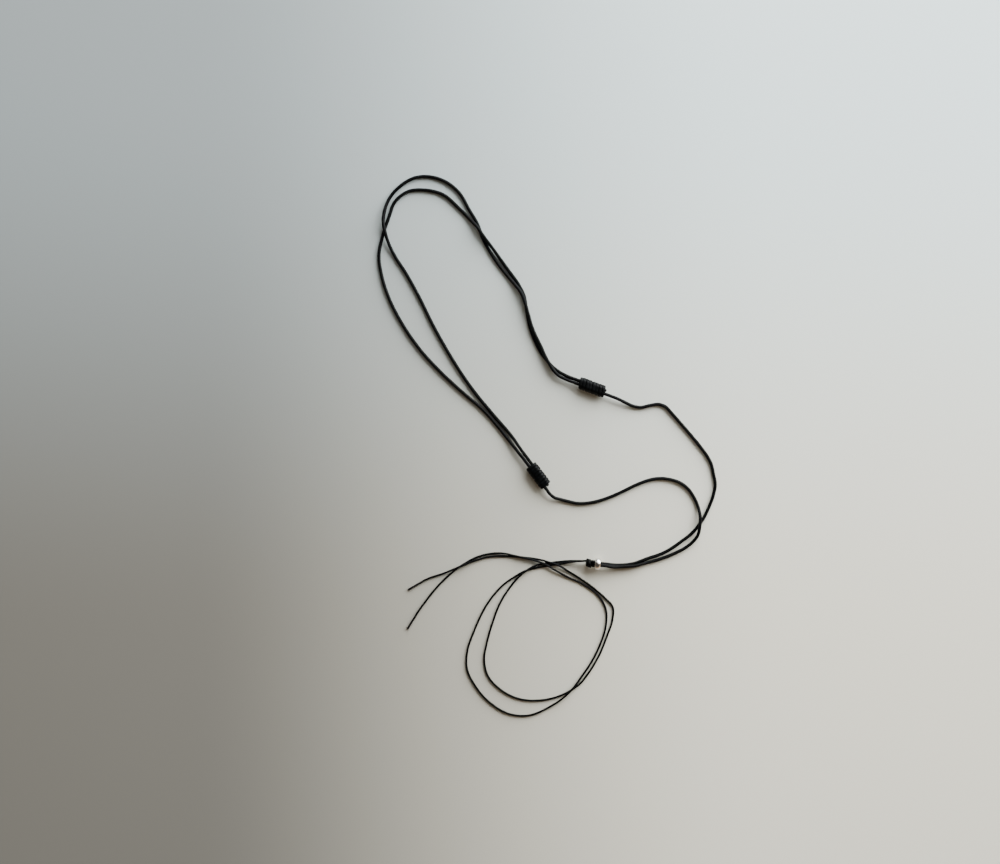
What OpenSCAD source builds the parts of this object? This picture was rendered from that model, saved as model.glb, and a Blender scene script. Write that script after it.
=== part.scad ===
// Adjustable neck cord: one braided cord folded at a silver bead, its two halves
// run round the neck and back, each tied round the other with a sliding knot.
// Two thin tie threads leave the fold. Everything lies on a table, +Z up.

/* [Neck cord] */
// Diameter of the braided cord
cord_d = 1.5; // [1.2:0.05:1.5]

/* [Sliding knots] */
// Turns wound in each knot
knot_turns = 8; // [5:1:8]
// Spacing of the turns of the right knot
right_pitch = 1.6; // [1.4:0.05:1.6]
// Spacing of the turns of the left knot
left_pitch = 1.5; // [1.4:0.05:1.5]
// Radial thickness of a turn, which is pulled flat
turn_t = 1.35; // [1.2:0.05:1.4]
// Gap between the knot and the cord that it slides on
slide_gap = 0.08; // [0.05:0.01:0.1]

/* [Bead] */
// Outer diameter of the bead
bead_d = 5.9; // [5.6:0.1:5.9]
// Width of the bead along the cord
bead_w = 2.6; // [2.4:0.1:3.2]
// Diameter of the bead's hole
bead_hole_d = 3.2; // [3.2:0.05:3.6]
// Radius of the bead's crowned rim
bead_crown_r = 2; // [1.8:0.1:3]

/* [Tie threads] */
// Diameter of the tie threads
thread_d = 0.9; // [0.6:0.05:0.9]
// Outer diameter of the hitch that ties the threads to the fold
hitch_d = 3.9; // [3.6:0.1:4]
// Turns of thread in the hitch
hitch_turns = 3; // [2:1:3]
// Length of each thread's stiffened end
tip_l = 5; // [3:0.5:6]
// Diameter of the melted ball at each thread's end
tip_ball_d = 1.1; // [1:0.05:1.2]

/* [Hidden] */
$fn = 48;

cord_r = cord_d / 2;
thread_r = thread_d / 2;
route_r = 0.75;        // radius that the cord routes are laid out for
route_thread_r = 0.45; // radius that the thread routes are laid out for
tube_sides = 8;
ring_gap = 5;          // farthest that two rings of a tube are apart

// Where the two cords run through the knots and the bead
knot_z = 2.2;
strand_gap = 1.6;      // between the middles of a knot's two cords
right_knot_at = [21, 27.75, knot_z];
right_knot_turn = atan2(-3, 8);
left_knot_at = [-4.1, -13.7, knot_z];
left_knot_turn = atan2(-4, 3);
bead_at = [23.5, -55, 2.95];
bead_turn = atan2(-1, 10);
// The left cord in the bead is beside and over its axis, and the right cord opposite
pair_side = -0.402;
pair_rise = 0.65;
fold_r = norm([pair_side, pair_rise]);
fold_tilt = atan2(pair_rise, pair_side);
fold_back = 1.2;       // from the bead's middle back to the middle of the fold
fold_ahead = 1;        // from the bead's middle forward to the fold's cut ends
hitch_back = 2.8;      // from the bead's middle back to the hitch
hitch_drop = 0.65;     // the hitch hangs this far under the bead's axis
hitch_core_inset = 0.25; // the core under the hitch's turns is this far inside their outer face

// Routes. Each point is [x, y, height of the cord's underside over the table].
// Left cord, from the bead through the S bend to the middle of the left knot
LEFT_FRONT = [
    [24.46, -55.5, 2.85], [27.15, -55.77, 2.85], [27.64, -55.82, 2.85], [29.2, -56.15, 2.65],
    [31, -56.45, 2], [32.8, -56.5, 1.55], [35, -56.4, 1.4], [38, -56.2, 1.3],
    [40.5, -56.05, 1.2], [42.5, -55.65, 1], [44.2, -55.2, 0.65], [46.2, -54.75, 0.15],
    [49.6, -53.9, 0], [54.5, -52.4, 0], [60, -50.1, 0], [65, -47.5, 0.1],
    [68.2, -44.9, 0.6], [70.6, -41.6, 1.4], [71.5, -37.4, 1.6], [71.7, -33, 1.4],
    [71, -28.6, 0.2], [69.2, -24.3, 0], [66.4, -20.1, 0], [62.6, -17.1, 0],
    [58, -15.5, 0], [52.5, -15, 0], [47.5, -15.9, 0], [43.1, -17.5, 0],
    [34.1, -21.8, 0], [27, -24.7, 0], [20.4, -26.4, 0], [14.5, -26.7, 0],
    [9.6, -25.7, 0], [6.2, -24.8, 0.3], [3.3, -23.9, 0.9], [1.25, -22.2, 1.4],
    [-0.25, -20.2, 1.45], [-1.75, -18.2, 1.45], [-4.75, -14.2, 1.45]];
// Right cord, from the bead round the outer bend to the middle of the right knot
RIGHT_FRONT = [
    [24.54, -54.7, 1.55], [27.23, -54.97, 1.55], [27.72, -55.02, 1.55], [29.3, -55.25, 1.3],
    [31.1, -55.55, 0.6], [32.8, -55.65, 0.1], [35, -55.65, 0], [38, -55.4, 0],
    [41, -54.85, 0], [44, -53.8, 0], [47.5, -52.45, 0], [51.5, -51.2, 0],
    [55, -49.8, 0], [58.2, -48, 0], [63.3, -44.4, 0], [67.7, -41, 0],
    [70.7, -37.7, 0], [73.3, -34, 0], [76, -28.5, 0], [77.9, -23.5, 0],
    [79, -18, 0], [78.2, -13, 0], [77, -8, 0], [74.5, -3.5, 0],
    [71.5, 0.5, 0], [67.2, 5.7, 0], [62.8, 10.8, 0], [58.2, 16, 0],
    [55.7, 18.6, 0], [52.4, 19.8, 0], [48.3, 19.3, 0], [44, 18.4, 0],
    [40.1, 19.1, 0.2], [36.5, 20.7, 0.8], [33, 22.4, 1.4], [29, 23.9, 1.45],
    [21, 26.9, 1.45]];
// Left cord, from the left knot up the outer side, round the neck and into the right knot
LEFT_NECK = [
    [-4.75, -14.2, 1.45], [-7.75, -10.2, 1.45], [-10.75, -6.2, 1.45], [-14.1, -1.9, 1.1],
    [-18, 3.1, 0.3], [-22.8, 9.1, 0], [-29.8, 17, 0], [-38.9, 24.8, 0],
    [-49.6, 34.6, 0], [-60.5, 46.6, 0], [-68, 57.6, 0], [-73.8, 68.7, 0],
    [-77.6, 80.1, 0], [-78.9, 90, 0], [-76.9, 99.9, 0], [-74.2, 107.8, 0],
    [-71.5, 114.8, 0], [-65.5, 119.6, 0], [-57, 120.4, 0], [-48.7, 118.2, 0],
    [-41.9, 112.4, 0], [-36.5, 107, 0.35], [-32.6, 102.6, 1.5], [-29.7, 98.4, 1.5],
    [-26.6, 94.3, 1.1], [-22.3, 88.5, 0.2], [-17.8, 82.3, 0], [-13.5, 76.3, 0],
    [-10.9, 71.1, 0], [-9.5, 63.1, 0], [-7.9, 55.5, 0], [-5.6, 49.5, 0],
    [-2.5, 43.6, 0], [-0.1, 40.5, 0], [2.4, 37.6, 0.1], [5.4, 35.2, 0.9],
    [9, 33.1, 1.45], [13, 31.6, 1.45], [21.4, 28.45, 1.45]];
// Right cord, from the right knot round the neck, down the inner side and into the left knot
RIGHT_NECK = [
    [21, 26.9, 1.45], [13, 29.9, 1.45], [9, 31.4, 1.45], [5.6, 33.1, 1.6],
    [3, 35.7, 1.65], [1, 38.9, 1.6], [-0.8, 42.1, 1.55], [-3, 47.1, 1.35],
    [-5.6, 52.4, 1.2], [-7.4, 56.8, 1.4], [-8.8, 61.9, 1.5], [-10.3, 67.1, 1.55],
    [-12.2, 72.1, 1.5], [-15, 75.9, 0.8], [-18.6, 80.2, 0], [-23, 85.8, 0],
    [-26.8, 91.6, 0], [-30.3, 98, 0], [-32.4, 104, 0], [-36.6, 111.3, 0],
    [-41.3, 119.2, 0], [-47.4, 124.2, 0], [-54.5, 126.6, 0], [-62, 126.2, 0],
    [-69, 122.2, 0], [-74, 116.5, 0.1], [-76.2, 110.7, 0.9], [-76.8, 105, 1.5],
    [-75.8, 99.9, 1.5], [-74.2, 94.9, 0.7], [-71.4, 89.3, 0], [-66.3, 81.4, 0],
    [-61.2, 72.3, 0], [-52.2, 54.4, 0], [-33.9, 25.4, 0], [-24.2, 13.7, 0],
    [-16.1, 4.2, 0.4], [-12.45, -1.2, 1.35], [-9.45, -5.2, 1.45], [-3.45, -13.2, 1.45]];
// Tie thread a, from the hitch round the outer loop to the lower free end
THREAD_A = [
    [18.3, -53.5, 2.45], [14.5, -53.8, 2], [10.5, -54.3, 1.1], [7, -55, 0.3],
    [3, -55.6, 0], [-2, -56.4, 0], [-7, -57.5, 0], [-11, -58.8, 0],
    [-15, -61.1, 0], [-20.5, -65, 0], [-25.8, -70.8, 0], [-34.5, -87.3, 0],
    [-37.5, -96.6, 0], [-37.6, -104.4, 0], [-33.8, -112.4, 0], [-26, -121, 0],
    [-17.5, -125.7, 0], [-8.5, -126.3, 0], [1.4, -122.2, 0.2], [7.8, -117.8, 0.8],
    [12.2, -113.4, 0.9], [15.6, -109, 0.2], [20.3, -102.2, 0], [24.9, -93.1, 0],
    [27.6, -84.5, 0], [27.6, -76.4, 0], [24.2, -70.2, 0], [17.1, -64.8, 0],
    [8.5, -60.7, 0.3], [3.4, -57.8, 0.9], [-1, -55.2, 1], [-5, -53.7, 1],
    [-13, -51.8, 1], [-22, -50.1, 0.2], [-31, -51.3, 0], [-40.7, -56.3, 0],
    [-50.4, -64.7, 0], [-57.6, -73.5, 0], [-60.2, -77.1, 0.1], [-62.7, -81.1, 0.1]];
// Tie thread b, from the hitch round the inner loop to the upper free end
THREAD_B = [
    [18.3, -53.6, 1.5], [14.5, -53.7, 1], [10.5, -53.8, 0.15], [7, -54, 0],
    [3, -54.5, 0], [-1, -54.9, 0], [-4.5, -55.6, 0.2], [-7.6, -57, 0.8],
    [-10.4, -58.7, 1], [-13.6, -61.6, 0.3], [-18, -67, 0], [-22.3, -74.1, 0],
    [-25.5, -82.6, 0], [-28.2, -92, 0], [-29.5, -100, 0], [-28, -107.3, 0],
    [-22, -114.1, 0], [-12.9, -118.6, 0], [-4, -119.3, 0], [10, -115.3, 0],
    [15, -111.9, 0], [20, -105.7, 0], [24.3, -98.5, 0], [28.1, -89.3, 0],
    [30.8, -81, 0], [30.9, -75.5, 0], [26.8, -70.8, 0], [18.2, -63.8, 0],
    [9.8, -58.5, 0.3], [5.2, -55.7, 1.05], [1, -54.3, 1], [-4, -53, 0.6],
    [-10, -52.2, 0], [-18, -51.6, 0], [-27, -51.8, 0], [-34, -53.6, 0.4],
    [-40.5, -56.2, 1], [-48, -59.4, 0.3], [-57, -62.6, 0.1], [-60.5, -64.6, 0.1]];

// ---- Sweeping a round tube along a route ----
function unit(v) = v / norm(v);

// A route's points at the cord's middle
function middles(route, r) = [for (p = route) [p.x, p.y, p.z + r]];

// The curve's direction at point i, weighted towards the nearer neighbour
function way(p, i) =
    i == 0 ? unit(p[1] - p[0])
    : i == len(p) - 1 ? unit(p[i] - p[i - 1])
    : let (before = norm(p[i] - p[i - 1]), after = norm(p[i + 1] - p[i]))
      ((p[i] - p[i - 1]) / before * after + (p[i + 1] - p[i]) / after * before)
      / (before + after);

// A point of the smooth curve, the share t of the way from point i to the next
function between(p, i, t, r) =
    let (span = norm(p[i + 1] - p[i]), a = t * t, b = t * a,
         q = (2 * b - 3 * a + 1) * p[i] + (b - 2 * a + t) * span * way(p, i)
             + (3 * a - 2 * b) * p[i + 1] + (b - a) * span * way(p, i + 1))
    [q.x, q.y, max(q.z, r)];

// The curve's points for the tube's rings
function curve(p, r) = concat(
    [for (i = [0:len(p) - 2])
        let (steps = ceil(norm(p[i + 1] - p[i]) / ring_gap))
        for (k = [0:steps - 1]) between(p, i, k / steps, r)],
    [p[len(p) - 1]]);

function heading(c, i) = unit(c[min(i + 1, len(c) - 1)] - c[max(i - 1, 0)]);

function ring(c, i, r) =
    let (ahead = heading(c, i), side = unit(cross([0, 0, 1], ahead)), up = cross(ahead, side))
    [for (k = [0:tube_sides - 1])
        let (a = 360 * k / tube_sides) c[i] + r * (cos(a) * side + sin(a) * up)];

module tube(route, r, laid_r) {
    c = curve(middles(route, laid_r), laid_r);
    rings = len(c);
    wall = [for (i = [0:rings - 2], k = [0:tube_sides - 1])
        let (a = i * tube_sides, n = (k + 1) % tube_sides)
        [a + k, a + tube_sides + k, a + tube_sides + n, a + n]];
    start = [for (k = [0:tube_sides - 1]) k];
    end = [for (k = [tube_sides - 1:-1:0]) (rings - 1) * tube_sides + k];
    polyhedron([for (i = [0:rings - 1]) each ring(c, i, r)], concat([start], wall, [end]));
}

// ---- Neck cord ----
module left_front_cord() {
    color("#17181a") tube(LEFT_FRONT, cord_r, route_r);
}

module right_front_cord() {
    color("#17181a") tube(RIGHT_FRONT, cord_r, route_r);
}

module left_neck_cord() {
    color("#17181a") tube(LEFT_NECK, cord_r, route_r);
}

module right_neck_cord() {
    color("#17181a") tube(RIGHT_NECK, cord_r, route_r);
}

// Puts its children in the bead's frame: +X along the cord, away from the fold
module at_bead() {
    translate(bead_at) rotate([0, 0, bead_turn]) children();
}

module cord_fold() {
    color("#17181a") at_bead() rotate([fold_tilt, 0, 0]) translate([-fold_back, 0, 0]) {
        rotate([0, 0, 90]) rotate_extrude(angle = 180) translate([fold_r, 0]) circle(cord_r);
        for (side = [-1, 1])
            translate([0, side * fold_r, 0]) rotate([0, 90, 0])
                cylinder(r = cord_r, h = fold_back + fold_ahead);
    }
}

// ---- Sliding knots ----
bore_r = route_r + slide_gap;
turn_r = turn_t / 2;
sink = 0.02;          // how far touching parts of one knot run into each other
turn_path_r = bore_r + turn_r - sink;
sleeve_r = bore_r + turn_r;
sleeve_inset = 0.3;   // the sleeve under the turns stops this far inside the knot's ends
tail_l = 0.9;         // straight length of the knot's cut end
tail_inset = 1.1;     // how far inside the knot's front the cut end starts

// One closed turn round two cords side by side, in the XY plane
module turn() {
    for (side = [-1, 1]) {
        translate([side * strand_gap / 2, 0, 0]) rotate([0, 0, -90 * side])
            rotate_extrude(angle = 180) translate([turn_path_r, 0]) circle(turn_r);
        translate([-strand_gap / 2, side * turn_path_r, 0]) rotate([0, 90, 0])
            cylinder(r = turn_r, h = strand_gap);
    }
}

// A bar with half-round sides, r and the cords' spacing across, along +Z
module slot_bar(r, h) {
    for (side = [-1, 1])
        translate([side * strand_gap / 2, 0, 0]) cylinder(r = r, h = h);
    translate([-strand_gap / 2, -r, 0]) cube([strand_gap, 2 * r, h]);
}

// The wound knot, centred, its cords along X and side by side in Y
module wraps(pitch) {
    length = knot_turns * pitch;
    rotate([90, 0, 90]) difference() {
        union() {
            translate([0, 0, sleeve_inset - length / 2]) slot_bar(sleeve_r, length - 2 * sleeve_inset);
            for (k = [0:knot_turns - 1])
                translate([0, 0, (k + 0.5 - knot_turns / 2) * pitch]) turn();
        }
        translate([0, 0, -length]) slot_bar(bore_r, 2 * length);
    }
}

// The trimmed and singed end that shows at the knot's front, on the side given
module tail(pitch, side) {
    tail_r = bore_r - sink;
    tail_start = knot_turns * pitch / 2 - tail_inset;
    translate([tail_start, side * strand_gap / 2, 0]) {
        rotate([0, 90, 0]) cylinder(r = tail_r, h = tail_l);
        translate([tail_l, 0, 0]) sphere(tail_r);
    }
}

module left_knot_wraps() {
    color("#101113") translate(left_knot_at) rotate([0, 0, left_knot_turn]) wraps(left_pitch);
}

module left_knot_tail() {
    color("#101113") translate(left_knot_at) rotate([0, 0, left_knot_turn]) tail(left_pitch, 1);
}

module right_knot_wraps() {
    color("#101113") translate(right_knot_at) rotate([0, 0, right_knot_turn]) wraps(right_pitch);
}

module right_knot_tail() {
    color("#101113") translate(right_knot_at) rotate([0, 0, right_knot_turn]) tail(right_pitch, 1);
}

// ---- Bead ----
module bead() {
    color("#c9c9cc") at_bead() rotate([0, 90, 0]) difference() {
        rotate_extrude() intersection() {
            translate([0, -bead_w / 2]) square([bead_d / 2, bead_w]);
            translate([bead_d / 2 - bead_crown_r, 0]) circle(bead_crown_r);
        }
        translate([0, 0, -bead_w]) cylinder(d = bead_hole_d, h = 2 * bead_w);
    }
}

// ---- Tie threads ----
module thread_hitch() {
    width = hitch_turns * thread_d;
    color("#141517") at_bead() translate([-hitch_back - width, 0, -hitch_drop]) rotate([0, 90, 0]) {
        cylinder(d = hitch_d - 2 * hitch_core_inset, h = width);
        for (k = [0:hitch_turns - 1])
            translate([0, 0, (k + 0.5) * thread_d])
                rotate_extrude() translate([hitch_d / 2 - thread_r, 0]) circle(thread_r);
    }
}

module tie_thread_a() {
    color("#141517") tube(THREAD_A, thread_r, route_thread_r);
}

module tie_thread_b() {
    color("#141517") tube(THREAD_B, thread_r, route_thread_r);
}

// The stiff singed end, straight on from the end of a route
module tip(route) {
    p = middles(route, route_thread_r);
    end = p[len(p) - 1];
    ahead = end - p[len(p) - 2];
    translate(end) rotate([0, 0, atan2(ahead.y, ahead.x)]) rotate([0, 90, 0]) {
        cylinder(r = thread_r, h = tip_l);
        translate([0, 0, tip_l]) sphere(d = tip_ball_d);
    }
}

module thread_tip_a() {
    color("#141517") tip(THREAD_A);
}

module thread_tip_b() {
    color("#141517") tip(THREAD_B);
}

left_front_cord();
right_front_cord();
left_neck_cord();
right_neck_cord();
cord_fold();
left_knot_wraps();
left_knot_tail();
right_knot_wraps();
right_knot_tail();
bead();
thread_hitch();
tie_thread_a();
tie_thread_b();
thread_tip_a();
thread_tip_b();
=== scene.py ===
"""The looks of the neck strap: braided cord, wound knots, silver bead, hitch and twisted tie threads.

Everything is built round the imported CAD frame, in metres, +Z up from the table that the strap lies on.
"""

import math

import bpy
import numpy as np
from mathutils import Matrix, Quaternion, Vector


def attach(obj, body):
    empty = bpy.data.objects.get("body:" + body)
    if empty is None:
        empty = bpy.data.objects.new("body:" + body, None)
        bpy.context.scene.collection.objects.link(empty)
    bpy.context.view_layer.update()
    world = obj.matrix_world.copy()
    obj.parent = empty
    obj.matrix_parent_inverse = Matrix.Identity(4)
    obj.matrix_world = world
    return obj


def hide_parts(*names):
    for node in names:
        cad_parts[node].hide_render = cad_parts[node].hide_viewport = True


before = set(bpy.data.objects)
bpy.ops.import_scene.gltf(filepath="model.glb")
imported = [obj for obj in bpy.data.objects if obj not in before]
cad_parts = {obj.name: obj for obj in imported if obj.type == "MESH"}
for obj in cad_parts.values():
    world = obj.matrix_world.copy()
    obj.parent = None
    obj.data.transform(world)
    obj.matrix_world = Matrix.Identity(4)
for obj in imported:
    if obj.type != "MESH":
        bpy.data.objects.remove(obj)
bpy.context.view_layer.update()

MM = 0.001
CORD_R = 0.75 * MM  # neck cord
THREAD_R = 0.45 * MM  # tie thread
BRAID_R = 0.82 * MM  # the cord's braid, whose strands stand a little proud
PLY_R = 0.5 * MM  # the tie thread's plies


def placed(name, data):
    """A new object in the scene."""
    made = bpy.data.objects.new(name, data)
    bpy.context.scene.collection.objects.link(made)
    return made


# ---- Camera ----
# Straight above the table, with +Y up in the picture
CAMERA_AT = (-22.1 * MM, 6.8 * MM, 653 * MM)


def make_camera():
    data = bpy.data.cameras.new("camera")
    data.lens = 50
    data.sensor_width = 36
    data.clip_start = 0.01
    data.clip_end = 50
    camera = placed("camera", data)
    camera.location = CAMERA_AT
    bpy.context.scene.camera = camera


# ---- Routes ----
# Each point is (x, y, height of the cord's underside over the table), in millimetres, as in the CAD.
# Left half of the neck cord, from the bead to the middle of the left knot
LEFT_FRONT = [
    (24.46, -55.5, 2.85), (27.15, -55.77, 2.85), (27.64, -55.82, 2.85), (29.2, -56.15, 2.65),
    (31, -56.45, 2), (32.8, -56.5, 1.55), (35, -56.4, 1.4), (38, -56.2, 1.3),
    (40.5, -56.05, 1.2), (42.5, -55.65, 1), (44.2, -55.2, 0.65), (46.2, -54.75, 0.15),
    (49.6, -53.9, 0), (54.5, -52.4, 0), (60, -50.1, 0), (65, -47.5, 0.1),
    (68.2, -44.9, 0.6), (70.6, -41.6, 1.4), (71.5, -37.4, 1.6), (71.7, -33, 1.4),
    (71, -28.6, 0.2), (69.2, -24.3, 0), (66.4, -20.1, 0), (62.6, -17.1, 0),
    (58, -15.5, 0), (52.5, -15, 0), (47.5, -15.9, 0), (43.1, -17.5, 0),
    (34.1, -21.8, 0), (27, -24.7, 0), (20.4, -26.4, 0), (14.5, -26.7, 0),
    (9.6, -25.7, 0), (6.2, -24.8, 0.3), (3.3, -23.9, 0.9), (1.25, -22.2, 1.4),
    (-0.25, -20.2, 1.45), (-1.75, -18.2, 1.45), (-4.75, -14.2, 1.45),
]
# and on round the neck into the right knot
LEFT_NECK = [
    (-4.75, -14.2, 1.45), (-7.75, -10.2, 1.45), (-10.75, -6.2, 1.45), (-14.1, -1.9, 1.1),
    (-18, 3.1, 0.3), (-22.8, 9.1, 0), (-29.8, 17, 0), (-38.9, 24.8, 0),
    (-49.6, 34.6, 0), (-60.5, 46.6, 0), (-68, 57.6, 0), (-73.8, 68.7, 0),
    (-77.6, 80.1, 0), (-78.9, 90, 0), (-76.9, 99.9, 0), (-74.2, 107.8, 0),
    (-71.5, 114.8, 0), (-65.5, 119.6, 0), (-57, 120.4, 0), (-48.7, 118.2, 0),
    (-41.9, 112.4, 0), (-36.5, 107, 0.35), (-32.6, 102.6, 1.5), (-29.7, 98.4, 1.5),
    (-26.6, 94.3, 1.1), (-22.3, 88.5, 0.2), (-17.8, 82.3, 0), (-13.5, 76.3, 0),
    (-10.9, 71.1, 0), (-9.5, 63.1, 0), (-7.9, 55.5, 0), (-5.6, 49.5, 0),
    (-2.5, 43.6, 0), (-0.1, 40.5, 0), (2.4, 37.6, 0.1), (5.4, 35.2, 0.9),
    (9, 33.1, 1.45), (13, 31.6, 1.45), (21.4, 28.45, 1.45),
]
# Right half of the neck cord, from the bead to the middle of the right knot
RIGHT_FRONT = [
    (24.54, -54.7, 1.55), (27.23, -54.97, 1.55), (27.72, -55.02, 1.55), (29.3, -55.25, 1.3),
    (31.1, -55.55, 0.6), (32.8, -55.65, 0.1), (35, -55.65, 0), (38, -55.4, 0),
    (41, -54.85, 0), (44, -53.8, 0), (47.5, -52.45, 0), (51.5, -51.2, 0),
    (55, -49.8, 0), (58.2, -48, 0), (63.3, -44.4, 0), (67.7, -41, 0),
    (70.7, -37.7, 0), (73.3, -34, 0), (76, -28.5, 0), (77.9, -23.5, 0),
    (79, -18, 0), (78.2, -13, 0), (77, -8, 0), (74.5, -3.5, 0),
    (71.5, 0.5, 0), (67.2, 5.7, 0), (62.8, 10.8, 0), (58.2, 16, 0),
    (55.7, 18.6, 0), (52.4, 19.8, 0), (48.3, 19.3, 0), (44, 18.4, 0),
    (40.1, 19.1, 0.2), (36.5, 20.7, 0.8), (33, 22.4, 1.4), (29, 23.9, 1.45),
    (21, 26.9, 1.45),
]
# and on round the neck into the left knot
RIGHT_NECK = [
    (21, 26.9, 1.45), (13, 29.9, 1.45), (9, 31.4, 1.45), (5.6, 33.1, 1.6),
    (3, 35.7, 1.65), (1, 38.9, 1.6), (-0.8, 42.1, 1.55), (-3, 47.1, 1.35),
    (-5.6, 52.4, 1.2), (-7.4, 56.8, 1.4), (-8.8, 61.9, 1.5), (-10.3, 67.1, 1.55),
    (-12.2, 72.1, 1.5), (-15, 75.9, 0.8), (-18.6, 80.2, 0), (-23, 85.8, 0),
    (-26.8, 91.6, 0), (-30.3, 98, 0), (-32.4, 104, 0), (-36.6, 111.3, 0),
    (-41.3, 119.2, 0), (-47.4, 124.2, 0), (-54.5, 126.6, 0), (-62, 126.2, 0),
    (-69, 122.2, 0), (-74, 116.5, 0.1), (-76.2, 110.7, 0.9), (-76.8, 105, 1.5),
    (-75.8, 99.9, 1.5), (-74.2, 94.9, 0.7), (-71.4, 89.3, 0), (-66.3, 81.4, 0),
    (-61.2, 72.3, 0), (-52.2, 54.4, 0), (-33.9, 25.4, 0), (-24.2, 13.7, 0),
    (-16.1, 4.2, 0.4), (-12.45, -1.2, 1.35), (-9.45, -5.2, 1.45), (-3.45, -13.2, 1.45),
]
# Tie thread a, from the hitch to the lower free end
THREAD_A = [
    (18.3, -53.5, 2.45), (14.5, -53.8, 2), (10.5, -54.3, 1.1), (7, -55, 0.3),
    (3, -55.6, 0), (-2, -56.4, 0), (-7, -57.5, 0), (-11, -58.8, 0),
    (-15, -61.1, 0), (-20.5, -65, 0), (-25.8, -70.8, 0), (-34.5, -87.3, 0),
    (-37.5, -96.6, 0), (-37.6, -104.4, 0), (-33.8, -112.4, 0), (-26, -121, 0),
    (-17.5, -125.7, 0), (-8.5, -126.3, 0), (1.4, -122.2, 0.2), (7.8, -117.8, 0.8),
    (12.2, -113.4, 0.9), (15.6, -109, 0.2), (20.3, -102.2, 0), (24.9, -93.1, 0),
    (27.6, -84.5, 0), (27.6, -76.4, 0), (24.2, -70.2, 0), (17.1, -64.8, 0),
    (8.5, -60.7, 0.3), (3.4, -57.8, 0.9), (-1, -55.2, 1), (-5, -53.7, 1),
    (-13, -51.8, 1), (-22, -50.1, 0.2), (-31, -51.3, 0), (-40.7, -56.3, 0),
    (-50.4, -64.7, 0), (-57.6, -73.5, 0), (-60.2, -77.1, 0.1), (-62.7, -81.1, 0.1),
]
# Tie thread b, from the hitch to the upper free end
THREAD_B = [
    (18.3, -53.6, 1.5), (14.5, -53.7, 1), (10.5, -53.8, 0.15), (7, -54, 0),
    (3, -54.5, 0), (-1, -54.9, 0), (-4.5, -55.6, 0.2), (-7.6, -57, 0.8),
    (-10.4, -58.7, 1), (-13.6, -61.6, 0.3), (-18, -67, 0), (-22.3, -74.1, 0),
    (-25.5, -82.6, 0), (-28.2, -92, 0), (-29.5, -100, 0), (-28, -107.3, 0),
    (-22, -114.1, 0), (-12.9, -118.6, 0), (-4, -119.3, 0), (10, -115.3, 0),
    (15, -111.9, 0), (20, -105.7, 0), (24.3, -98.5, 0), (28.1, -89.3, 0),
    (30.8, -81, 0), (30.9, -75.5, 0), (26.8, -70.8, 0), (18.2, -63.8, 0),
    (9.8, -58.5, 0.3), (5.2, -55.7, 1.05), (1, -54.3, 1), (-4, -53, 0.6),
    (-10, -52.2, 0), (-18, -51.6, 0), (-27, -51.8, 0), (-34, -53.6, 0.4),
    (-40.5, -56.2, 1), (-48, -59.4, 0.3), (-57, -62.6, 0.1), (-60.5, -64.6, 0.1),
]


def unit(v):
    return v / np.linalg.norm(v)


def slope(p, i):
    """The curve's direction at point i of a route, weighted towards the nearer neighbour."""
    if i == 0:
        return unit(p[1] - p[0])
    if i == len(p) - 1:
        return unit(p[i] - p[i - 1])
    before, after = np.linalg.norm(p[i] - p[i - 1]), np.linalg.norm(p[i + 1] - p[i])
    return ((p[i] - p[i - 1]) / before * after + (p[i + 1] - p[i]) / after * before) / (before + after)


def smooth_line(p, steps=60):
    """A dense line of points along the smooth curve through p."""
    t = np.arange(steps)[:, None] / steps
    a, b = t**2, t**3
    line = []
    for i in range(len(p) - 1):
        span = np.linalg.norm(p[i + 1] - p[i])
        line.append(
            (2 * b - 3 * a + 1) * p[i]
            + (b - 2 * a + t) * span * slope(p, i)
            + (3 * a - 2 * b) * p[i + 1]
            + (b - a) * span * slope(p, i + 1)
        )
    line.append(p[-1:])
    return np.vstack(line)


def curve(route, r, proud_r):
    """The smooth curve through a route, at the cord's middle, in metres, and clear of the table."""
    line = smooth_line(np.array(route, float) * MM + (0, 0, r))
    line[:, 2] = np.maximum(line[:, 2], proud_r)
    return line


def joined(*lines):
    """Lines end to end, without their doubled joins."""
    out = np.vstack(lines)
    keep = np.ones(len(out), bool)
    keep[1:] = np.linalg.norm(np.diff(out, axis=0), axis=1) > 1e-7
    return out[keep]


def length_along(line):
    return np.concatenate([[0], np.cumsum(np.linalg.norm(np.diff(line, axis=0), axis=1))])


def at_lengths(line, lengths):
    """The line's points at these lengths from its start."""
    along = length_along(line)
    return np.stack([np.interp(lengths, along, line[:, k]) for k in range(3)], axis=1)


# ---- Places, as in the CAD source ----
KNOT_Z = 2.2 * MM
STRAND_GAP = 1.6 * MM  # between the middles of a knot's two cords
SLOT_R = 0.83 * MM  # inside the knot, round each cord
TURNS = 8
TURN_THICK = 1.35 * MM
LEFT_PITCH, RIGHT_PITCH = 1.5 * MM, 1.6 * MM
BEAD_AT = np.array((23.5, -55, 2.95)) * MM
BEAD_TURN = math.atan2(-1, 10)
PAIR_SIDE, PAIR_RISE = -0.402 * MM, 0.65 * MM  # from the bead's axis to the left cord in it
FOLD_BACK = 1.2 * MM  # from the bead's middle back to the middle of the fold
FOLD_AHEAD = 1.0 * MM  # and forward to the fold's ends
HITCH_FRONT = -2.8 * MM  # along the bead's axis from its middle
HITCH_DROP = 0.65 * MM
HITCH_TURNS = 3
HITCH_PITCH = 0.95 * MM
LEG_GAP = 0.42 * MM  # from the fold's middle to each pass of the thread
TIP_L = 5 * MM
BALL_R = 0.55 * MM  # melted at the tip's end
SKIN = 0.004 * MM  # keeps the last ring of a closed end open


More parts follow.
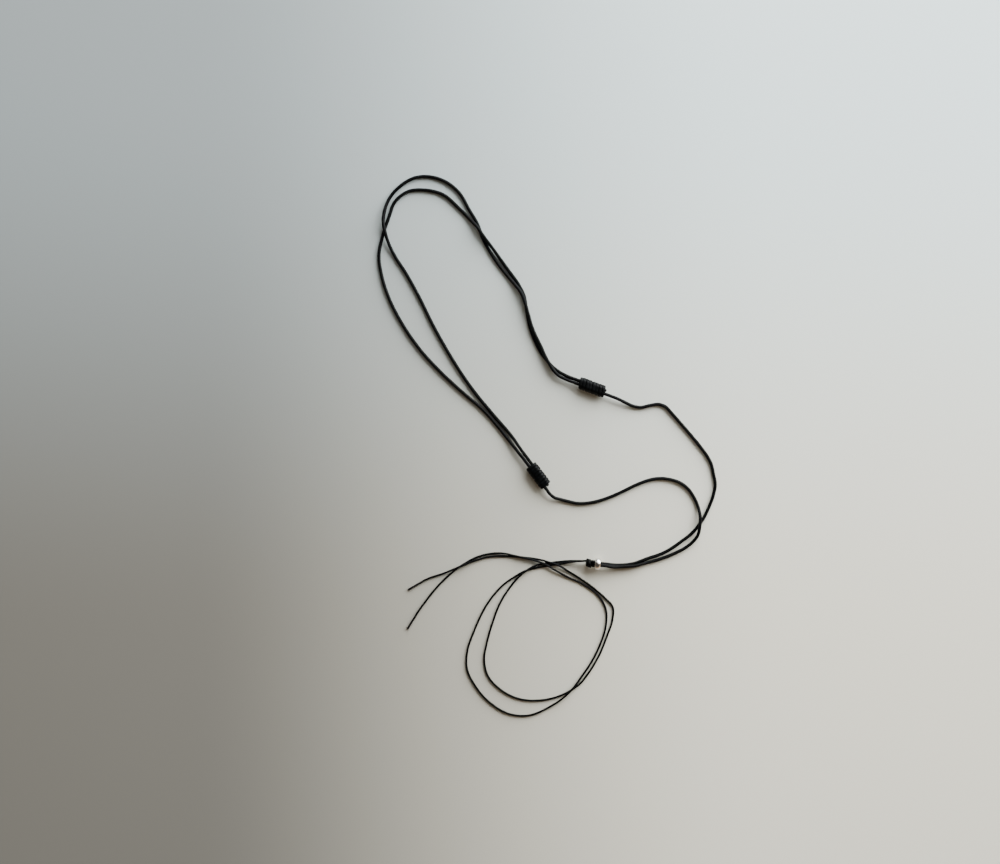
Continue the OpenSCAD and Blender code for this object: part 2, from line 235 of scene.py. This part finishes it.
class Place:
    """A frame on the object: local x, y, z axes at a point, turned about +Z."""

    def __init__(self, at, turn):
        self.at = np.array(at, float)
        c, s = math.cos(turn), math.sin(turn)
        self.axes = np.array(((c, s, 0), (-s, c, 0), (0, 0, 1)))

    def out(self, local):
        return np.asarray(local, float) @ self.axes + self.at

    def direction(self, local):
        return np.asarray(local, float) @ self.axes


BEAD = Place(BEAD_AT, BEAD_TURN)
LEFT_KNOT = Place((-4.1 * MM, -13.7 * MM, KNOT_Z), math.atan2(-4, 3))
RIGHT_KNOT = Place((21 * MM, 27.75 * MM, KNOT_Z), math.atan2(-3, 8))


def fold_line():
    """The cord's middle from the left half's end in the bead, round the fold, to the right half's."""
    across = np.array((0, PAIR_SIDE, PAIR_RISE))
    r = np.linalg.norm(across)
    angles = np.linspace(0, math.pi, 90)[:, None]
    bend = np.array((-FOLD_BACK, 0, 0)) + np.cos(angles) * across - np.sin(angles) * np.array((r, 0, 0))
    ends = np.array((FOLD_AHEAD, 0, 0))
    return BEAD.out(np.vstack([ends + across, bend, ends - across]))


# ---- Tubes with a braided or twisted surface ----
def carried_frames(line):
    """(side, up) directions for each point of a line, carried along it without twist."""
    ahead = np.gradient(line, axis=0)
    ahead /= np.linalg.norm(ahead, axis=1)[:, None]
    side = np.empty_like(line)
    side[0] = unit(np.cross((0, 0, 1), ahead[0]))
    for i in range(1, len(line)):
        side[i] = unit(side[i - 1] - (side[i - 1] @ ahead[i]) * ahead[i])
    return side, np.cross(ahead, side)


class Braid:
    """A round braid, each strand over two and under two of the others. Lengths are in metres."""

    def __init__(self, strands, cell, relief):
        self.strands = strands  # that run each way
        self.cell = cell  # length of one crossing
        self.relief = relief
        self.sides = 4 * strands
        self.step = cell / 4

    def at(self, around, along):
        """The height from 0 to 1, the place across both strands and which is on top.

        around is a share of a turn, along a length.
        """
        a = self.strands * around + along / self.cell
        b = self.strands * around - along / self.cell
        i, j = np.floor(a + 1e-6), np.floor(b + 1e-6)
        high_a = 0.5 * (1 - (2 * (a - i) - 1) ** 2) + 0.5 * np.sin(math.pi / 2 * (i + b))
        high_b = 0.5 * (1 - (2 * (b - j) - 1) ** 2) - 0.5 * np.sin(math.pi / 2 * (j + a))
        return np.maximum(high_a, high_b), a, b, np.clip(4 * (high_a - high_b), -1, 1)


class Twist:
    """A thread of plies twisted together."""

    def __init__(self, plies, pitch, relief, sides, step):
        self.plies = plies
        self.pitch = pitch  # length of one whole turn of a ply
        self.relief = relief
        self.sides = sides
        self.step = step

    def at(self, around, along):
        """As for a braid, but no ply crosses another."""
        a = self.plies * (around + along / self.pitch)
        across = 2 * (a - np.floor(a)) - 1
        fibre = self.plies * (around - 2 * along / self.pitch)
        return np.sqrt(np.maximum(1 - 0.92 * across**2, 0)), a, fibre, -np.ones_like(a)


CORD = Braid(strands=8, cell=0.75 * MM, relief=0.11 * MM)
THREAD = Twist(plies=3, pitch=2.6 * MM, relief=0.13 * MM, sides=24, step=0.2 * MM)


def tube(name, rings, side, up, wide, high, lay, along, relief=1.0, squareness=1.0):
    """A closed tube with a ring round each point of rings.

    wide and high are its half sizes along side and up, along is the length that each ring lies at, and a
    squareness below 1 takes its round section towards a box.
    """
    n, m = len(rings), lay.sides
    share = np.arange(m + 1) / m
    height, a, b, over = lay.at(share[None, :], np.asarray(along)[:, None])
    sink = np.broadcast_to(relief, n)[:, None] * lay.relief * (height - 1)
    wide, high = (np.broadcast_to(x, n)[:, None] for x in (wide, high))
    angle = 2 * math.pi * share[None, :]
    across, over_up = (np.sign(x) * np.abs(x) ** squareness for x in (np.cos(angle), np.sin(angle)))
    points = (
        rings[:, None, :]
        + (across * (wide + sink))[:, :, None] * side[:, None, :]
        + (over_up * (high + sink))[:, :, None] * up[:, None, :]
    )[:, :m]
    i, k = (x.ravel() for x in np.meshgrid(np.arange(n - 1), np.arange(m), indexing="ij"))
    corners = np.stack([np.stack(c) for c in ((i, k), (i, k + 1), (i + 1, k + 1), (i + 1, k))])
    walls = (corners[:, 0] * m + corners[:, 1] % m).T
    caps = [list(range(m - 1, -1, -1)), list(range((n - 1) * m, n * m))]
    mesh = bpy.data.meshes.new(name)
    mesh.from_pydata(points.reshape(-1, 3).tolist(), [], walls.tolist() + caps)
    lay_map = mesh.uv_layers.new(name="lay")
    uv = np.zeros((len(mesh.loops), 2), np.float32)
    wall_ends = np.stack([a[corners[:, 0], corners[:, 1]], b[corners[:, 0], corners[:, 1]]], axis=2)
    uv[: len(walls) * 4] = wall_ends.transpose(1, 0, 2).reshape(-1, 2)
    lay_map.data.foreach_set("uv", uv.ravel())
    on_top = mesh.attributes.new("on_top", "FLOAT", "POINT")
    on_top.data.foreach_set("value", np.ascontiguousarray(over[:, :m], np.float32).ravel())
    mesh.polygons.foreach_set("use_smooth", np.ones(len(mesh.polygons), bool))
    mesh.update()
    return placed(name, mesh)


def smooth(x):
    x = np.clip(x, 0, 1)
    return x * x * (3 - 2 * x)


# ---- Neck cord ----
def make_neck_cord():
    """The one cord in three pieces, cut where the CAD pieces meet: left half, fold, right half."""
    left = joined(curve(LEFT_FRONT, CORD_R, BRAID_R), curve(LEFT_NECK, CORD_R, BRAID_R))
    right = joined(curve(RIGHT_FRONT, CORD_R, BRAID_R), curve(RIGHT_NECK, CORD_R, BRAID_R))
    fold = fold_line()
    whole = joined(left[::-1], fold, right)
    total = length_along(whole)[-1]
    along = np.arange(int(total / CORD.step) + 1) * CORD.step
    rings = at_lengths(whole, along)
    side, up = carried_frames(rings)
    left_end = length_along(left)[-1]
    right_start = left_end + length_along(fold)[-1]
    cuts = [0, round(left_end / CORD.step), round(right_start / CORD.step), len(rings) - 1]
    made = []
    names = ("cord_left_half", "cord_fold_braid", "cord_right_half")
    for name, first, last in zip(names, cuts, cuts[1:]):
        s = slice(first, last + 1)
        piece = tube(name, rings[s], side[s], up[s], BRAID_R, BRAID_R, CORD, along[s])
        made.append((piece, rings[s]))
    return made


# ---- Tie threads ----
def make_tie_thread(name, tip_name, route):
    """A tie thread and its stiff singed end, which carries the twist on and melts into a small ball."""
    line = curve(route, THREAD_R, PLY_R)
    end_heading = unit((line[-1] - line[-2]) * (1, 1, 0))
    whole = joined(line, (line[-1] + end_heading * TIP_L)[None])
    tip_start, total = length_along(line)[-1], length_along(whole)[-1]
    along = np.arange(int(total / THREAD.step) + 1) * THREAD.step
    rings = at_lengths(whole, along)
    side, up = carried_frames(rings)
    cut = round(tip_start / THREAD.step)
    s = slice(cut + 1)
    thread = tube(name, rings[s], side[s], up[s], PLY_R, PLY_R, THREAD, along[s])
    # The tip: the plies sink into a smooth skin towards the ball that the flame left
    fine = 0.06 * MM
    reach = total + BALL_R - along[cut]
    t = np.arange(int(reach / fine) + 1) * fine
    t = np.append(t, reach)
    middle = rings[cut] + t[:, None] * end_heading
    to_end = reach - t
    ball = np.sqrt(np.maximum(BALL_R**2 - (to_end - BALL_R) ** 2, 0)) * (to_end < 1.75 * BALL_R)
    shaft = PLY_R * np.where(to_end < BALL_R, 0, 1.0)
    size = np.maximum(ball, shaft) + SKIN
    fade = 0.15 + 0.85 * smooth((to_end - 1.2 * MM) / (2.6 * MM))
    fade = np.where(to_end < 2 * BALL_R, 0.1, fade)
    sides, ups = (np.broadcast_to(x[cut], (len(t), 3)) for x in (side, up))
    tip = tube(tip_name, middle, sides, ups, size, size, THREAD, along[cut] + t, relief=fade)
    return thread, tip, rings[: cut + 1]


# ---- Sliding knots ----
def stadium(share, r, half_gap):
    """Points and outward directions (y, z) round two cords side by side.

    share counts turns from the bottom.
    """
    flat = 2 * half_gap
    arc = math.pi * r
    s = (share % 1.0) * 2 * (flat + arc)
    y, z = np.zeros_like(s), np.zeros_like(s)
    ny, nz = np.zeros_like(s), np.zeros_like(s)
    first = s < half_gap
    y[first], z[first], nz[first] = s[first], -r[first], -1
    s = s - half_gap
    bend = (s >= 0) & (s < arc)
    turn = s / r - math.pi / 2
    y[bend] = (half_gap + r * np.cos(turn))[bend]
    z[bend], ny[bend], nz[bend] = (r * np.sin(turn))[bend], np.cos(turn)[bend], np.sin(turn)[bend]
    s = s - arc
    top = (s >= 0) & (s < flat)
    y[top], z[top], nz[top] = (half_gap - s)[top], r[top], 1
    s = s - flat
    bend = (s >= 0) & (s < arc)
    turn = s / r + math.pi / 2
    y[bend] = (r * np.cos(turn) - half_gap)[bend]
    z[bend], ny[bend], nz[bend] = (r * np.sin(turn))[bend], np.cos(turn)[bend], np.sin(turn)[bend]
    s = s - arc
    last = s >= 0
    y[last], z[last], nz[last] = (s - half_gap)[last], -r[last], -1
    return y, z, ny, nz


def make_knot_turns(name, place, pitch, seed):
    """The cord wound round both cords, pulled flat and tight, its two ends drawn in under the turns."""
    path_r = SLOT_R + TURN_THICK / 2 - 0.02 * MM
    per_turn = 2 * math.pi * path_r + 2 * STRAND_GAP
    count = int(TURNS * per_turn / CORD.step) + 1
    t = np.arange(count) * CORD.step / per_turn
    to_end = np.minimum(t, TURNS - t)
    drawn_in = smooth(to_end / 0.3)
    # Each turn is a little tighter or looser than the next, and the end turns are the tightest
    uneven = 0.045 * MM * np.sin(2.1 * t + seed) * np.sin(0.9 * t + 2 * seed)
    tapered = -0.2 * MM * (1 - smooth((to_end + 0.1) / 1.3))
    r = path_r * (0.55 + 0.45 * drawn_in) + uneven + tapered
    y, z, ny, nz = stadium(t, r, STRAND_GAP / 2)
    limit = TURNS * pitch / 2 - 0.5 * pitch
    slant = 0.16 * MM * np.sin(2 * math.pi * t + seed) + 0.1 * MM * np.sin(3.7 * t + 2 + seed)
    x = pitch * (t - TURNS / 2) + slant * drawn_in
    x = np.where(np.abs(x) > limit, np.sign(x) * (limit + 0.25 * (np.abs(x) - limit)), x)
    line = place.out(np.stack([x, y, z], axis=1))
    outward = place.direction(np.stack([np.zeros_like(ny), ny, nz], axis=1))
    ahead = np.gradient(line, axis=0)
    ahead /= np.linalg.norm(ahead, axis=1)[:, None]
    side = np.cross(outward, ahead)
    side /= np.linalg.norm(side, axis=1)[:, None]
    up = np.cross(ahead, side)
    small = 0.75 + 0.25 * drawn_in
    wide, high = small * pitch * 0.55, small * TURN_THICK / 2
    return tube(name, line, side, up, wide, high, CORD, t * per_turn, relief=0.8, squareness=0.68)


def make_cut_end(name, place, pitch):
    """The trimmed end of the cord that wound the knot, melted to a rough dome."""
    start = TURNS * pitch / 2 - 1.1 * MM
    reach = 1.72 * MM
    t = np.linspace(0, reach, 40)
    to_end = reach - t
    dome = 0.62 * MM
    rounded = np.sqrt(np.maximum(1 - ((dome - to_end) / dome) ** 2, 0)) ** 0.8
    size = 0.94 * CORD_R * np.where(to_end < dome, rounded, 1)
    bulge = 0.03 * MM * np.exp(-(((to_end - dome) / (0.25 * MM)) ** 2))
    size = size + bulge + SKIN
    clear = 0.06 * MM  # outward, off the cord beside it at the end of the knot's travel
    beside = np.full_like(t, STRAND_GAP / 2 + clear)
    line = place.out(np.stack([start + t, beside, np.zeros_like(t)], axis=1))
    side = np.broadcast_to(place.direction((0, 1, 0)), line.shape)
    up = np.broadcast_to((0.0, 0.0, 1.0), line.shape)
    fade = smooth((to_end - 0.8 * MM) / (0.5 * MM))
    return tube(name, line, side, up, size * 1.02, size * 0.97, CORD, t, relief=fade)


# ---- Bead ----
def make_bead():
    """A turned silver rondelle: crowned rim, small flat faces and a bore with rounded lips."""
    outer_r, half, bore_r, crown = 2.95 * MM, 1.3 * MM, 1.6 * MM, 2.0 * MM
    face_r = outer_r - crown + math.sqrt(crown**2 - half**2)
    lip = 0.22 * MM
    edge = 0.18 * MM
    lean = math.asin(half / crown) * 0.93
    crown_steps = 33
    profile = []
    for angle in np.linspace(-lean, lean, crown_steps):
        profile.append((crown * math.sin(angle), outer_r - crown + crown * math.cos(angle)))
    for angle in np.linspace(0.25, 1, 6) * math.pi / 2:
        profile.append((half - edge + edge * math.sin(angle), face_r - edge + edge * math.cos(angle)))
    for angle in np.linspace(0, math.pi / 2, 9):
        profile.append((half - lip + lip * math.cos(angle), bore_r + lip - lip * math.sin(angle)))
    inside = [(x, bore_r) for x in np.linspace(half - lip, lip - half, 9)[1:-1]]
    mirrored = [(-x, r) for x, r in reversed(profile[crown_steps:])]
    profile = np.array(profile + inside + mirrored)
    m = 128
    angle = 2 * math.pi * np.arange(m) / m
    local = np.stack(
        [
            np.repeat(profile[:, 0:1], m, axis=1),
            profile[:, 1:2] * np.cos(angle),
            profile[:, 1:2] * np.sin(angle),
        ],
        axis=2,
    )
    n = len(profile)
    i, k = (x.ravel() for x in np.meshgrid(np.arange(n), np.arange(m), indexing="ij"))
    ni, nk = (i + 1) % n, (k + 1) % m
    faces = np.stack([i * m + k, ni * m + k, ni * m + nk, i * m + nk], axis=1)
    mesh = bpy.data.meshes.new("bead_silver")
    mesh.from_pydata(BEAD.out(local.reshape(-1, 3)).tolist(), [], faces.tolist())
    mesh.polygons.foreach_set("use_smooth", np.ones(len(mesh.polygons), bool))
    mesh.update()
    return placed("bead_silver", mesh)


# ---- Hitch ----
def thread_along(name, local):
    """A twisted thread along points given in the bead's frame."""
    line = BEAD.out(local)
    total = length_along(line)[-1]
    along = np.arange(int(total / THREAD.step) + 1) * THREAD.step
    rings = at_lengths(line, along)
    side, up = carried_frames(rings)
    return tube(name, rings, side, up, PLY_R, PLY_R, THREAD, along)


def make_hitch_loop():
    """The thread drawn twice through the fold, between the two cords, its ends out behind the turns."""
    across = np.array((0, PAIR_SIDE, PAIR_RISE)) / math.hypot(PAIR_SIDE, PAIR_RISE)
    normal = np.array((0, -PAIR_RISE, PAIR_SIDE)) / math.hypot(PAIR_SIDE, PAIR_RISE)
    drop = np.array((0, 0, -HITCH_DROP))
    # (x, along the fold's normal, share of the way down to the hitch's axis)
    leg = [
        (-3.5, 0.6, 1.0), (-2.8, 1.08, 0.3), (-1.8, 1.14, 0.0),
        (-0.8, 0.8, 0.0), (-0.45, 0.0, 0.0),
    ]
    points = [np.array((-5.32, 0.975, -0.05)) * MM, np.array((-4.4, 0.55, -0.2)) * MM]

    def one_side(stops, away, beside):
        offset = across * beside
        return [np.array((x * MM, 0, 0)) + away * n * MM + drop * d + offset for x, n, d in stops]

    for beside in (LEG_GAP, -LEG_GAP):
        points += one_side(leg, normal, beside) + one_side(leg[-2::-1], -normal, beside)
    points += [np.array((-4.4, 0.5, -1.0)) * MM, np.array((-5.33, 0.88, -1.0)) * MM]
    return thread_along("hitch_loop", smooth_line(np.array(points)))


def make_hitch_turns():
    """The thread wound three times round its own legs, then drawn over the top and tucked under."""
    riding = 0.6  # share of a turn that lies over the others
    end_r, swell, ride_height = 1.22, 0.32, 0.72 * MM
    t = np.linspace(0, HITCH_TURNS + riding, 520)
    over = np.clip((t - HITCH_TURNS) / riding, 0, 1)
    to_back = np.clip((t - 0.3) / (HITCH_TURNS - 0.6), 0, 1) - smooth(over)
    barrel = (end_r + swell * np.sin(math.pi * to_back)) * MM
    drawn = smooth((t + 0.05) / 0.3) * smooth((1.04 - over) / 0.3)
    r = barrel * (0.6 + 0.4 * drawn) + ride_height * np.sin(math.pi * over) ** 0.5
    angle = 2 * math.pi * (t - HITCH_TURNS - riding / 2) + math.pi / 2
    front = HITCH_FRONT - 0.2 * MM
    x = front - (HITCH_TURNS - 1) * HITCH_PITCH * to_back
    y, z = r * np.cos(angle), r * np.sin(angle) - HITCH_DROP
    return thread_along("hitch_turns", np.stack([x, y, z], axis=1))


make_camera()
(left_half, left_line), (fold, _), (right_half, right_line) = make_neck_cord()
thread_a, tip_a, line_a = make_tie_thread("thread_a_twist", "tip_a_singed", THREAD_A)
thread_b, tip_b, line_b = make_tie_thread("thread_b_twist", "tip_b_singed", THREAD_B)
left_turns = make_knot_turns("left_knot_turns", LEFT_KNOT, LEFT_PITCH, seed=0.7)
right_turns = make_knot_turns("right_knot_turns", RIGHT_KNOT, RIGHT_PITCH, seed=2.3)
left_end = make_cut_end("left_knot_end", LEFT_KNOT, LEFT_PITCH)
right_end = make_cut_end("right_knot_end", RIGHT_KNOT, RIGHT_PITCH)
bead = make_bead()
hitch_turns = make_hitch_turns()
hitch_loop = make_hitch_loop()


# ---- Materials ----
def new_material(name, colour, roughness, specular=0.5, metallic=0.0):
    """A material with these constants on its shader, and its node tree."""
    material = bpy.data.materials.new(name)
    material.use_nodes = True
    tree = material.node_tree
    shader = tree.nodes["Principled BSDF"]
    shader.inputs["Base Color"].default_value = (*colour, 1)
    shader.inputs["Roughness"].default_value = roughness
    shader.inputs["Specular IOR Level"].default_value = specular
    shader.inputs["Metallic"].default_value = metallic
    return material, tree, shader


def node(tree, kind, inputs=(), **settings):
    """A node with settings on it, and values or links for its inputs."""
    made = tree.nodes.new("ShaderNode" + kind)
    for key, value in settings.items():
        setattr(made, key, value)
    for key, value in dict(inputs).items():
        if isinstance(value, bpy.types.NodeSocket):
            tree.links.new(value, made.inputs[key])
        else:
            made.inputs[key].default_value = value
    return made


def ramp(tree, value, low, high, out_low=0.0, out_high=1.0, kind="LINEAR"):
    """The value carried from low..high to out_low..out_high, and held there outside that range."""
    return node(
        tree,
        "MapRange",
        {"Value": value, 1: low, 2: high, 3: out_low, 4: out_high},
        clamp=True,
        interpolation_type=kind,
    ).outputs[0]


def mixed(tree, share, a, b):
    """A colour between a and b, each of them a colour or a node's output."""
    a, b = (x if isinstance(x, bpy.types.NodeSocket) else (*x, 1) for x in (a, b))
    return node(tree, "Mix", {0: share, 6: a, 7: b}, data_type="RGBA").outputs[2]


def fibre_material(name, dark, light, roughness, fibres, specular):
    """Black yarn: fibres along each strand, under uneven wax."""
    material, tree, shader = new_material(name, dark, roughness[0], specular)
    lay = node(tree, "UVMap", uv_map="lay").outputs[0]
    on_top = node(tree, "Attribute", attribute_name="on_top").outputs["Fac"]
    split = node(tree, "SeparateXYZ", {0: lay})
    first = node(tree, "CombineXYZ", {0: split.outputs[0], 1: split.outputs[1]}).outputs[0]
    second = node(tree, "CombineXYZ", {0: split.outputs[1], 1: split.outputs[0], 2: 7.0}).outputs[0]
    is_first = node(tree, "Math", {0: on_top, 1: 0.0}, operation="GREATER_THAN").outputs[0]
    strand = node(tree, "Mix", {0: is_first, 4: second, 5: first}, data_type="VECTOR").outputs[1]
    stretched = node(tree, "Mapping", {"Vector": strand, "Scale": (fibres, 0.7, 1)}).outputs[0]
    yarn = node(tree, "TexNoise", {"Vector": stretched, "Scale": 1.0, "Detail": 2.0}).outputs[0]
    place = node(tree, "TexCoord").outputs["Object"]
    wax = node(tree, "TexNoise", {"Vector": place, "Scale": 260.0, "Detail": 3.0}).outputs[0]
    blend = node(tree, "Mix", {0: 0.45, 2: wax, 3: yarn}).outputs[0]
    tree.links.new(ramp(tree, blend, 0.35, 0.65, roughness[0], roughness[1]), shader.inputs["Roughness"])
    tree.links.new(mixed(tree, ramp(tree, blend, 0.4, 0.68), dark, light), shader.inputs["Base Color"])
    bump = node(tree, "Bump", {"Strength": 0.55, "Distance": 0.03 * MM, "Height": yarn})
    tree.links.new(bump.outputs[0], shader.inputs["Normal"])
    return material


def singed_material():
    """Fibre ends melted by a flame: black, half glossy, with small blisters."""
    material, tree, shader = new_material("singed_fibre", (0.006, 0.006, 0.007), 0.4, 0.22)
    place = node(tree, "TexCoord").outputs["Object"]
    blister = node(tree, "TexNoise", {"Vector": place, "Scale": 2600.0, "Detail": 3.0}).outputs[0]
    flow = node(tree, "TexNoise", {"Vector": place, "Scale": 900.0, "Detail": 2.0}).outputs[0]
    tree.links.new(ramp(tree, flow, 0.35, 0.65, 0.3, 0.55), shader.inputs["Roughness"])
    tree.links.new(
        mixed(tree, ramp(tree, flow, 0.4, 0.7), (0.004, 0.004, 0.005), (0.012, 0.011, 0.01)),
        shader.inputs["Base Color"],
    )
    bump = node(tree, "Bump", {"Strength": 0.5, "Distance": 0.05 * MM, "Height": blister})
    tree.links.new(bump.outputs[0], shader.inputs["Normal"])
    return material


def silver_material():
    """Polished silver with the fine rings of its turning, light handling scratches and a warm film."""
    material, tree, shader = new_material("polished_silver", (0.86, 0.85, 0.83), 0.14, metallic=1.0)
    place = node(tree, "TexCoord").outputs["Object"]
    turned = node(tree, "Mapping", {"Vector": place, "Rotation": (0, 0, -BEAD_TURN)}).outputs[0]
    rings = node(tree, "Mapping", {"Vector": turned, "Scale": (9000, 300, 300)}).outputs[0]
    lines = node(tree, "TexNoise", {"Vector": rings, "Scale": 1.0, "Detail": 2.0}).outputs[0]
    film = node(tree, "TexNoise", {"Vector": place, "Scale": 700.0, "Detail": 4.0}).outputs[0]
    wear = node(tree, "Mix", {0: 0.4, 2: film, 3: lines}).outputs[0]
    tree.links.new(ramp(tree, wear, 0.35, 0.65, 0.1, 0.24), shader.inputs["Roughness"])
    tree.links.new(
        mixed(tree, ramp(tree, film, 0.4, 0.7), (0.88, 0.87, 0.855), (0.8, 0.77, 0.72)),
        shader.inputs["Base Color"],
    )
    bump = node(tree, "Bump", {"Strength": 0.12, "Distance": 0.02 * MM, "Height": lines})
    tree.links.new(bump.outputs[0], shader.inputs["Normal"])
    return material


def finish(piece, material, slot_name, body, *replaced):
    """Give a piece its material and its body, and hide the CAD nodes it stands for. The slot name is not
    used.
    """
    piece.data.materials.append(material)
    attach(piece, body)
    if replaced:
        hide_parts(*replaced)


braid = fibre_material(
    "black_braid", dark=(0.0012, 0.0014, 0.0016), light=(0.0035, 0.004, 0.0043),
    roughness=(0.34, 0.52), fibres=9, specular=0.09,
)
# The knots' turns wear the neck cord's braid made a little darker: painted shade of the tightly packed
# turns
knot_cord = fibre_material(
    "knot_braid_darker", dark=(0.0008, 0.001, 0.0011), light=(0.0028, 0.0036, 0.004),
    roughness=(0.36, 0.54), fibres=9, specular=0.09,
)
twist = fibre_material(
    "waxed_thread", dark=(0.0012, 0.0014, 0.0016), light=(0.0035, 0.004, 0.0045),
    roughness=(0.36, 0.52), fibres=12, specular=0.08,
)
singed = singed_material()
silver = silver_material()

finish(left_half, braid, "braided_cord", "cord", "left_front_cord", "left_neck_cord")
finish(right_half, braid, "braided_cord", "cord", "right_front_cord", "right_neck_cord")
finish(fold, braid, "braided_cord", "cord", "cord_fold")
finish(left_turns, knot_cord, "knot_cord", "left_knot", "left_knot_wraps")
finish(right_turns, knot_cord, "knot_cord", "right_knot", "right_knot_wraps")
finish(left_end, singed, "singed_end", "left_knot", "left_knot_tail")
finish(right_end, singed, "singed_end", "right_knot", "right_knot_tail")
finish(bead, silver, "silver", "bead", "bead")
finish(hitch_turns, twist, "tie_thread", "cord", "thread_hitch")
finish(hitch_loop, twist, "tie_thread", "cord")
finish(thread_a, twist, "tie_thread", "cord", "tie_thread_a")
finish(thread_b, twist, "tie_thread", "cord", "tie_thread_b")
finish(tip_a, singed, "singed_end", "cord", "thread_tip_a")
finish(tip_b, singed, "singed_end", "cord", "thread_tip_b")


# ---- Floor and light ----
def make_floor():
    """A pale table, its colour painted darker at the left and front: painted shade of the light falling
    off there.
    """
    mesh = bpy.data.meshes.new("floor")
    half = 3.0  # of its width
    corners = [(-half, -half, 0), (half, -half, 0), (half, half, 0), (-half, half, 0)]
    mesh.from_pydata(corners, [], [(0, 1, 2, 3)])
    floor = placed("floor", mesh)
    material, tree, shader = new_material("floor", (0.62, 0.62, 0.6), 0.75, specular=0.2)
    place = node(tree, "SeparateXYZ", {0: node(tree, "TexCoord").outputs["Object"]})
    # Painted shade: the base colour runs from pale at the back right to dark at the front left, where
    # the light falls off
    to_right = ramp(tree, place.outputs[0], -0.17, 0.12, kind="SMOOTHSTEP")
    to_back = ramp(tree, place.outputs[1], -0.09, 0.18, kind="SMOOTHSTEP")
    front = mixed(tree, to_right, (0.214, 0.206, 0.178), (0.96, 0.93, 0.78))
    back = mixed(tree, to_right, (0.345, 0.39, 0.395), (0.83, 0.97, 0.97))
    tree.links.new(mixed(tree, to_back, front, back), shader.inputs["Base Color"])
    mesh.materials.append(material)


def area_light(name, at, target, width, height, power, colour, turn=0.0):
    """A rectangular light that faces its target, turned about its own axis."""
    data = bpy.data.lights.new(name, "AREA")
    data.shape = "RECTANGLE"
    data.size, data.size_y = width, height
    data.energy = power
    data.color = colour
    light = placed(name, data)
    light.location = at
    aim = (Vector(target) - Vector(at)).to_track_quat("-Z", "Y")
    light.rotation_euler = (aim @ Quaternion((0, 0, 1), turn)).to_euler()


def make_world():
    """A room: dim overhead, warm low down, cool and brighter towards the window, darker on the left."""
    world = bpy.data.worlds.new("room")
    world.use_nodes = True
    tree = world.node_tree
    background = tree.nodes["Background"]
    way = node(tree, "SeparateXYZ", {0: node(tree, "TexCoord").outputs["Generated"]})
    to_window = ramp(tree, way.outputs[1], 0.0, 0.8)
    low = mixed(tree, to_window, (1.5, 1.02, 0.62), (1.6, 1.75, 1.85))
    to_left = ramp(tree, way.outputs[0], 0.1, -0.7, 0.0, 0.75)
    sides = mixed(tree, to_left, low, (0.12, 0.11, 0.1))
    overhead = ramp(tree, way.outputs[2], 0.2, 0.65)
    colour = mixed(tree, overhead, sides, (0.13, 0.115, 0.1))
    tree.links.new(colour, background.inputs["Color"])
    background.inputs["Strength"].default_value = 0.55
    bpy.context.scene.world = world


make_floor()
area_light("window", (0.66, 0.86, 0.48), (0, 0, 0), 1.6, 0.95, 62, (0.96, 0.98, 1.0))
area_light("lamp", (0.02, 0.47, 0.73), (0.014, -0.052, 0), 1.6, 0.14, 1.3, (1.0, 0.99, 0.97), turn=-0.6)
make_world()
